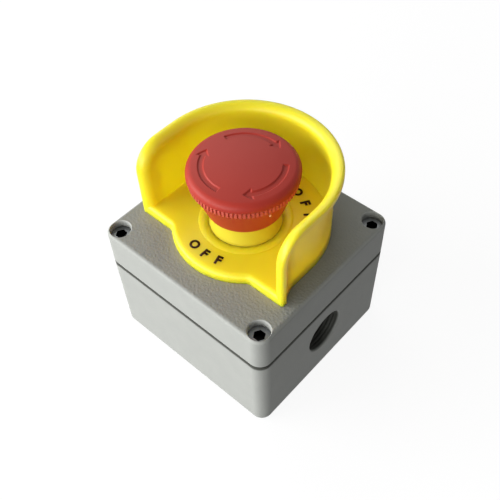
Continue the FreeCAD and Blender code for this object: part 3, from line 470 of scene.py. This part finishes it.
def roll_place(share):
    """Radius and height on the rolled rim, from its outer edge at 0 over the crown to the collar at 1."""
    crown_z = floor_top + ROLL_RISE
    if share < 0.5:
        turn = math.pi * share
        radius = ROLL_CROWN_R + (ROLL_R - ROLL_CROWN_R) * math.cos(turn)
        return radius, floor_top + ROLL_RISE * math.sin(turn)
    fall = 2 * share - 1
    radius = ROLL_CROWN_R + (ROLL_FOOT_R - ROLL_CROWN_R) * fall
    return radius, crown_z + (seat_z - crown_z) * smooth(fall)


# Pigmented ABS: light soaks in and glows through the thin wall and lip, under a satin skin.
guard_yellow = moulded("safety_yellow_abs", ("#FBD923", "#FDDE2D"), 0.6 * MM, 0.012 * MM,
                       {"IOR": 1.54, "Roughness": 0.4, "Specular IOR Level": 0.35, "Subsurface Weight": 1.0,
                        "Subsurface Radius": (1.0, 0.8, 0.15), "Subsurface Scale": 8 * MM})
# Pad-print ink: a thin, flat brown-black with hardly any shine.
ink = moulded("pad_print_ink", ("#2C1505", "#341C08"), 0.3 * MM, 0.005 * MM,
              {"IOR": 1.5, "Roughness": 0.5, "Specular IOR Level": 0.1})
floor_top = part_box("guard_shroud")[0].z + FLOOR_T
seat_z = floor_top - SEAT_DROP
shell = bmesh.new()
shell.from_mesh(frame["nodes"]["guard_shroud"].data)
# The boss's cone is cut into rows, which are laid over the rolled rim, and its top goes down to the seat.
slants = []
for edge in shell.edges:
    near, far = sorted(v.co.xy.length for v in edge.verts)
    lowest = min(v.co.z for v in edge.verts)
    on_cone = abs(near - BOSS_TOP_R) < BOSS_SLACK and abs(far - BOSS_R) < BOSS_SLACK
    if on_cone and lowest > floor_top - BOSS_SLACK:
        slants.append(edge)
bmesh.ops.subdivide_edges(shell, edges=slants, cuts=ROLL_STEPS - 1)
for vertex in shell.verts:
    reach = vertex.co.xy.length
    if vertex.co.z < floor_top - BOSS_SLACK or reach > BOSS_R + BOSS_SLACK:
        continue
    vertex.co.z = seat_z
    if reach > BOSS_TOP_R - BOSS_SLACK:
        share = min(1.0, max(0.0, (BOSS_R - reach) / (BOSS_R - BOSS_TOP_R)))
        radius, vertex.co.z = roll_place(share)
        vertex.co.xy *= radius / reach
seated = bpy.data.meshes.new("seated_guard")
shell.to_mesh(seated)
shell.free()
guard = show("seated_guard", seated, guard_yellow, "station")
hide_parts("guard_shroud")
printed_word("legend_front", LEGEND, FRONT_R, FRONT_BEARING, FRONT_STEP, math.pi / 2)
printed_word("legend_right", LEGEND, BACK_R, 90 - BACK_TURN, -BACK_STEP, -math.pi / 2)
printed_word("legend_left", LEGEND, BACK_R, 90 + BACK_TURN, -BACK_STEP, -math.pi / 2)

# Bezel ring
# A collar of the same yellow family, moulded in a glossier, greener tone.
# Its flared neck stands in the guard's rolled rim and covers the operator's flange.
NECK_FOOT_R = 13.85 * MM
NECK_R = 12.45 * MM
NECK_H = 7.6 * MM
NECK_LIP = 0.6 * MM         # rounding of the neck's top
NECK_BORE_R = 11.15 * MM
NECK_STEPS = 16
NECK_LIP_STEPS = 6
BEZEL_COLUMNS = 180
BEZEL_SHARP = 50.0          # degrees between faces that make an edge
FOOT_SHADE = 0.25 * MM      # height where painted shade round the foot starts, and where it is full
FOOT_SHADE_FULL = 0.05 * MM


def rounding(middle_r, middle_z, radius, end, steps):
    """Rings along an arc of the section, from straight out, which is left off, to an angle up or down."""
    rows = []
    for step in range(1, steps + 1):
        turn = end * step / steps
        rows.append(plain_row(middle_r + radius * math.cos(turn), middle_z + radius * math.sin(turn)))
    return rows


neck_top = seat_z + NECK_H
bezel_rows = []
for step in range(NECK_STEPS + 1):
    share = step / NECK_STEPS
    flare = (NECK_FOOT_R - NECK_R) * (1 - share) ** 2
    bezel_rows.append(plain_row(NECK_R + flare, seat_z + NECK_H * share))
bezel_rows += rounding(NECK_R - NECK_LIP, neck_top, NECK_LIP, math.pi / 2, NECK_LIP_STEPS)
bezel_rows += [plain_row(NECK_BORE_R, neck_top + NECK_LIP), plain_row(NECK_BORE_R, seat_z), bezel_rows[0]]
bezel_mesh = turned_mesh("flared_bezel", bezel_rows, BEZEL_COLUMNS)
bezel_mesh.set_sharp_from_angle(angle=math.radians(BEZEL_SHARP))
# ABS from a polished tool: a lemon yellow with a clear highlight, with painted shade where it meets the
# guard.
bezel_yellow = moulded("lemon_yellow_abs", ("#C4B92A", "#CABF34"), 0.8 * MM, 0.008 * MM,
                       {"IOR": 1.54, "Roughness": 0.33, "Specular IOR Level": 0.4}, "#8A8028",
                       [("Z", seat_z + FOOT_SHADE, seat_z + FOOT_SHADE_FULL)])
bezel = show("flared_bezel", bezel_mesh, bezel_yellow, "station")
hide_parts("bezel_ring")

# Mushroom head
# A hollow red polyamide moulding with a knurled band under its rim and a conical skirt.
# Three sunk arrows on the crown show which way to turn it for release.
# The knurl is painted paler as a highlight on its ribs, and a small gate pip on the skirt is painted pale as
# a highlight.
HEAD_EDGE = 2.8 * MM        # rounding of the rim
HEAD_CROWN = 1.0 * MM
HEAD_SHARP = 40.0           # degrees between faces that make an edge
CROWN_STEPS = 8             # rows from the middle to the arrows
EDGE_STEPS = 20
RIM_BAND = 0.5 * MM
RIM_BREAK = 0.12 * MM       # broken lower edge of that band, inwards and up
RIM_BREAK_H = 0.2 * MM
RIM_STEP = 0.5 * MM
STEP_CORNER = 0.4 * MM      # inner corner of the step under the band, outwards and up from the knurl
STEP_CORNER_H = 0.05 * MM
KNURL_H = 2.6 * MM
KNURL_R = 19.25 * MM        # gaps between the ribs
KNURL_HIGHLIGHT_FADE = 0.2 * MM       # distance over which the painted highlight fades out
RIB_RISE = 0.65 * MM
RIB_COUNT = 84
RIB_COLUMNS = 8
RIB_FROM = -0.85            # cosine over the pitch where a rib's flank starts, and where its top starts
RIB_FULL = -0.15
RIB_ENDS = (                # millimetres below the knurl's top, and the share of the rise there
    (0.05, 0.5), (0.15, 0.85), (0.3, 1.0), (1.3, 1.0), (2.3, 1.0), (2.45, 0.8), (2.55, 0.45),
)
SKIRT_TOP_R = 19.0 * MM
SKIRT_R = 14.6 * MM
SKIRT_STEPS = 12
SKIRT_LIP = 0.35 * MM       # rounding of the skirt's foot
SKIRT_LIP_STEPS = 5
SHELL_T = 1.8 * MM
HUB_R = 6.5 * MM
HUB_BORE_R = 4.02 * MM
HUB_H = 8.0 * MM
CEILING_DROP = 4.5 * MM
ARROW_COUNT = 3
ARROW_R = 14.8 * MM         # middle of the shaft
ARROW_HALF = 1.2 * MM       # half the shaft's width
ARROW_SWEEP = 88.0          # tip to tail
ARROW_TIP = 70.3            # bearing of one tip
ARROW_AHEAD = 10.0          # degrees before a tip that belong to its arrow
ARROW_HEAD_L = 3.7 * MM
ARROW_HEAD_HALF = 2.8 * MM
ARROW_DEPTH = 0.42 * MM
ARROW_WALL = 0.55 * MM      # width of the sloping walls
FINE_STEP = 0.12 * MM       # rows over the arrows
FINE_MARGIN = 0.5 * MM      # inside the arrows, where those rows start
PIP_BEARING = -18.2         # gate mark on the skirt
PIP_DROP = 3.2 * MM         # below the knurl
PIP_HALF_W = 0.4 * MM
PIP_HALF_H = 0.75 * MM
PIP_RISE = 0.35 * MM
PIP_STEPS = 6
PIP_COLUMNS = 24


def arrow_sink(radius, bearing):
    """Depth of the sunk arrows at a place on the crown."""
    sector = 360.0 / ARROW_COUNT
    turn = (math.degrees(bearing) - ARROW_TIP + ARROW_AHEAD) % sector - ARROW_AHEAD
    along = ARROW_R * math.radians(turn)
    side = abs(radius - ARROW_R)
    tail = ARROW_R * math.radians(ARROW_SWEEP)
    slant = math.hypot(ARROW_HEAD_L, ARROW_HEAD_HALF)
    in_point = (along * ARROW_HEAD_HALF - side * ARROW_HEAD_L) / slant
    in_head = min(in_point, ARROW_HEAD_L - along)
    in_shaft = min(ARROW_HALF - side, tail - along, along - ARROW_HEAD_L / 2)
    return ARROW_DEPTH * smooth(max(in_head, in_shaft) / ARROW_WALL)


def crown_row(radius, height):
    """Ring of the crown or the rim's rounding, with the arrows sunk into it."""
    return lambda bearing: (radius, height - arrow_sink(radius, bearing))


def dome_z(radius):
    """Height of the crown's dome."""
    return head_top - dome_r + math.sqrt(dome_r ** 2 - radius ** 2)


def rib_row(height, rise):
    """Ring across the knurl: rounded ribs that stand out by a share of their full rise."""
    def row(bearing):
        wave = math.cos(RIB_COUNT * bearing)
        return KNURL_R + RIB_RISE * rise * smooth((wave - RIB_FROM) / (RIB_FULL - RIB_FROM)), height
    return row


head_low, head_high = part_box("mushroom_head")
head_r = head_high.x
head_top = head_high.z
rim_z = head_top - HEAD_CROWN - HEAD_EDGE
knurl_top = rim_z - RIM_BAND - RIM_STEP
knurl_foot = knurl_top - KNURL_H
skirt_z = head_low.z
ceiling = head_top - CEILING_DROP
edge_middle = head_r - HEAD_EDGE
edge_lean = 2 * math.atan(HEAD_CROWN / edge_middle)
flat_r = edge_middle + HEAD_EDGE * math.sin(edge_lean)
dome_r = flat_r / math.sin(edge_lean)
arrows_from = ARROW_R - ARROW_HEAD_HALF - FINE_MARGIN
head_rows = [plain_row(0, head_top)]
for step in range(1, CROWN_STEPS + 1):
    radius = arrows_from * step / CROWN_STEPS
    head_rows.append(plain_row(radius, dome_z(radius)))
fine_rows = int((flat_r - arrows_from) / FINE_STEP)
for step in range(1, fine_rows + 1):
    radius = arrows_from + (flat_r - arrows_from) * step / fine_rows
    head_rows.append(crown_row(radius, dome_z(radius)))
for step in range(1, EDGE_STEPS + 1):
    lean = edge_lean + (math.pi / 2 - edge_lean) * step / EDGE_STEPS
    head_rows.append(crown_row(edge_middle + HEAD_EDGE * math.sin(lean), rim_z + HEAD_EDGE * math.cos(lean)))
for radius, height in ((head_r, rim_z - RIM_BAND + RIM_BREAK_H), (head_r - RIM_BREAK, rim_z - RIM_BAND),
                       (KNURL_R + STEP_CORNER, knurl_top + STEP_CORNER_H), (KNURL_R, knurl_top)):
    head_rows.append(plain_row(radius, height))
for drop, rise in RIB_ENDS:
    head_rows.append(rib_row(knurl_top - drop * MM, rise))
head_rows.append(plain_row(SKIRT_TOP_R, knurl_foot))
for step in range(1, SKIRT_STEPS + 1):
    height = knurl_foot + (skirt_z + SKIRT_LIP - knurl_foot) * step / SKIRT_STEPS
    fall = (knurl_foot - height) / (knurl_foot - skirt_z)
    head_rows.append(plain_row(SKIRT_TOP_R + (SKIRT_R - SKIRT_TOP_R) * fall, height))
head_rows += rounding(SKIRT_R - SKIRT_LIP, skirt_z + SKIRT_LIP, SKIRT_LIP, -math.pi / 2, SKIRT_LIP_STEPS)
inner_top_r = SKIRT_TOP_R - SHELL_T
for radius, height in ((SKIRT_R - SHELL_T, skirt_z), (inner_top_r, knurl_foot), (inner_top_r, ceiling),
                       (HUB_R, ceiling), (HUB_R, ceiling - HUB_H), (HUB_BORE_R, ceiling - HUB_H),
                       (HUB_BORE_R, ceiling), (0, ceiling)):
    head_rows.append(plain_row(radius, height))
# Red polyamide: an even, slightly dry red with a satin sheen; the knurl is painted paler as a highlight.
head_red = moulded("polyamide_red", ("#A02B1F", "#A73023"), 0.35 * MM, 0.02 * MM,
                   {"IOR": 1.53, "Roughness": 0.48, "Specular IOR Level": 0.25}, "#BE5242",
                   [("Z", knurl_foot - KNURL_HIGHLIGHT_FADE, knurl_foot), ("Z", knurl_top + KNURL_HIGHLIGHT_FADE, knurl_top)])
head_mesh = turned_mesh("mushroom_head_relief", head_rows, RIB_COUNT * RIB_COLUMNS)
head_mesh.set_sharp_from_angle(angle=math.radians(HEAD_SHARP))
head = show("mushroom_head_relief", head_mesh, head_red, "turning_head")
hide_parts("mushroom_head")
pip_rows = [plain_row(0, PIP_RISE)]
for step in range(1, PIP_STEPS + 1):
    lean = math.pi / 2 * step / PIP_STEPS
    pip_rows.append(plain_row(math.sin(lean), PIP_RISE * math.cos(lean)))
pip_rows += [plain_row(1, -PIP_RISE), plain_row(0, -PIP_RISE)]
pip_mesh = turned_mesh("gate_mark", pip_rows, PIP_COLUMNS)
slope = math.atan((SKIRT_TOP_R - SKIRT_R) / (knurl_foot - skirt_z))
pip_r = SKIRT_TOP_R - PIP_DROP * math.tan(slope)
pip_turn = Matrix.Rotation(math.radians(PIP_BEARING), 4, "Z")
pip_place = Matrix.Translation((pip_r, 0, knurl_foot - PIP_DROP))
pip_lean = Matrix.Rotation(math.pi / 2 + slope, 4, "Y")
pip_size = Matrix.Diagonal((PIP_HALF_H, PIP_HALF_W, 1, 1))
pip_mesh.transform(pip_turn @ pip_place @ pip_lean @ pip_size)
# Painted highlight: a pale red-cream on the gate pip, for the light it catches.
gate_highlight = moulded("polyamide_broken_gate", ("#E0A184", "#E8AE92"), 0.3 * MM, 0.01 * MM,
                    {"IOR": 1.53, "Roughness": 0.4})
show("gate_mark", pip_mesh, gate_highlight, "turning_head")

# Studio stage
# A pale floor, white to the lens and to reflections, that keeps a soft shadow.
# Two large softboxes stand low in front and at the front left, a weak one high behind, in a dim room.
FLOOR_HALF = 3.0
FLOOR_GLOW = 0.9            # share of white that the lens sees without any light
FLOOR_GREY = "#616161"      # what it gives back of the light, dim so that little bounces up
ROOM_LOW = 0.02             # light of the room at the horizon
ROOM_HIGH = 0.5             # and overhead
LAMP_REACH = 1.2
LAMP_WIDE = 1.0
LAMP_TALL = 0.5
FRONT_LAMP = (0.07, -0.98, 0.21)
FRONT_POWER = 12.6
LEFT_LAMP = (-0.72, -0.69, 0.36)
LEFT_POWER = 15.8
BACK_LAMP = (-0.9, 0.43, 0.84)
BACK_POWER = 4.0
VIEW_BEARING = 43.778       # degrees to the right of the front
VIEW_RISE = 50.848
VIEW_ROLL = -2.673
VIEW_AIM = Vector((9.415, -8.418, 57.0)) * MM
VIEW_REACH = 262.436 * MM
VIEW_NEAR = 10 * MM         # nearest distance that the lens shows
FOCAL_PIXELS = 715.073
FRAME_PIXELS = 500
SENSOR = 36.0


def seen_directly(material):
    """Factor that is 1 for rays from the lens, from reflections and through glass."""
    rays = add_node(material, "ShaderNodeLightPath")
    lens = add_node(material, "ShaderNodeMath", {"operation": "MAXIMUM"},
                    {0: rays.outputs["Is Camera Ray"], 1: rays.outputs["Is Glossy Ray"]})
    return add_node(material, "ShaderNodeMath", {"operation": "MAXIMUM"},
                    {0: lens.outputs[0], 1: rays.outputs["Is Transmission Ray"]}).outputs[0]


# Matt studio paper: nearly white by itself, with a shadow that stays soft and light.
paper = blank("paper_floor")
glow = add_node(paper, "ShaderNodeMath", {"operation": "MULTIPLY", 1: FLOOR_GLOW}, {0: seen_directly(paper)})
light = add_node(paper, "ShaderNodeEmission", links={"Strength": glow.outputs[0]})
matte = add_node(paper, "ShaderNodeBsdfDiffuse", {"Color": linear(FLOOR_GREY)})
both = add_node(paper, "ShaderNodeAddShader", links={0: light.outputs[0], 1: matte.outputs[0]})
add_node(paper, "ShaderNodeOutputMaterial", links={"Surface": both.outputs[0]})
floor_corners = [(-FLOOR_HALF, -FLOOR_HALF, 0), (FLOOR_HALF, -FLOOR_HALF, 0), (FLOOR_HALF, FLOOR_HALF, 0),
                 (-FLOOR_HALF, FLOOR_HALF, 0)]
floor_mesh = bpy.data.meshes.new("studio_floor")
floor_mesh.from_pydata(floor_corners, [], [(0, 1, 2, 3)])
floor_mesh.materials.append(paper)
studio_floor = bpy.data.objects.new("studio_floor", floor_mesh)
bpy.context.scene.collection.objects.link(studio_floor)

world = bpy.data.worlds.new("studio_room")
world.use_nodes = True
world.node_tree.nodes.clear()
aim = add_node(world, "ShaderNodeTexCoord")
climb = add_node(world, "ShaderNodeSeparateXYZ", links={0: aim.outputs["Generated"]})
overhead = add_node(world, "ShaderNodeMath", {"operation": "MULTIPLY"},
                    {0: climb.outputs["Z"], 1: climb.outputs["Z"]})
dim = add_node(world, "ShaderNodeMapRange", {"To Min": ROOM_LOW, "To Max": ROOM_HIGH},
               {"Value": overhead.outputs[0]})
bright = add_node(world, "ShaderNodeMapRange", {"To Max": 1.0},
                  {"Value": seen_directly(world), "To Min": dim.outputs[0]})
room = add_node(world, "ShaderNodeBackground", {"Color": linear("#FFFFFF")}, {"Strength": bright.outputs[0]})
add_node(world, "ShaderNodeOutputWorld", links={"Surface": room.outputs[0]})
bpy.context.scene.world = world

for name, side, power in (("front_softbox", FRONT_LAMP, FRONT_POWER), ("left_softbox", LEFT_LAMP, LEFT_POWER),
                          ("back_softbox", BACK_LAMP, BACK_POWER)):
    softbox = bpy.data.lights.new(name, "AREA")
    softbox.shape = "RECTANGLE"
    softbox.size = LAMP_WIDE
    softbox.size_y = LAMP_TALL
    softbox.energy = power
    lamp = bpy.data.objects.new(name, softbox)
    lamp.location = VIEW_AIM + Vector(side).normalized() * LAMP_REACH
    lamp.rotation_euler = Vector(side).to_track_quat("Z", "Y").to_euler()
    bpy.context.scene.collection.objects.link(lamp)

bearing = math.radians(VIEW_BEARING)
rise = math.radians(VIEW_RISE)
roll = math.radians(VIEW_ROLL)
back = Vector((math.sin(bearing) * math.cos(rise), -math.cos(bearing) * math.cos(rise), math.sin(rise)))
level = Vector((math.cos(bearing), math.sin(bearing), 0))
plumb = back.cross(level)
right = math.cos(roll) * level + math.sin(roll) * plumb
up = math.cos(roll) * plumb - math.sin(roll) * level
lens = bpy.data.cameras.new("photo_view")
lens.sensor_width = SENSOR
lens.lens = FOCAL_PIXELS / FRAME_PIXELS * SENSOR
lens.clip_start = VIEW_NEAR
camera = bpy.data.objects.new("photo_view", lens)
view_turn = Matrix((right, up, back)).transposed().to_4x4()
camera.matrix_world = Matrix.Translation(VIEW_AIM + back * VIEW_REACH) @ view_turn
bpy.context.scene.collection.objects.link(camera)
bpy.context.scene.camera = camera
bpy.context.scene.view_settings.view_transform = "Standard"
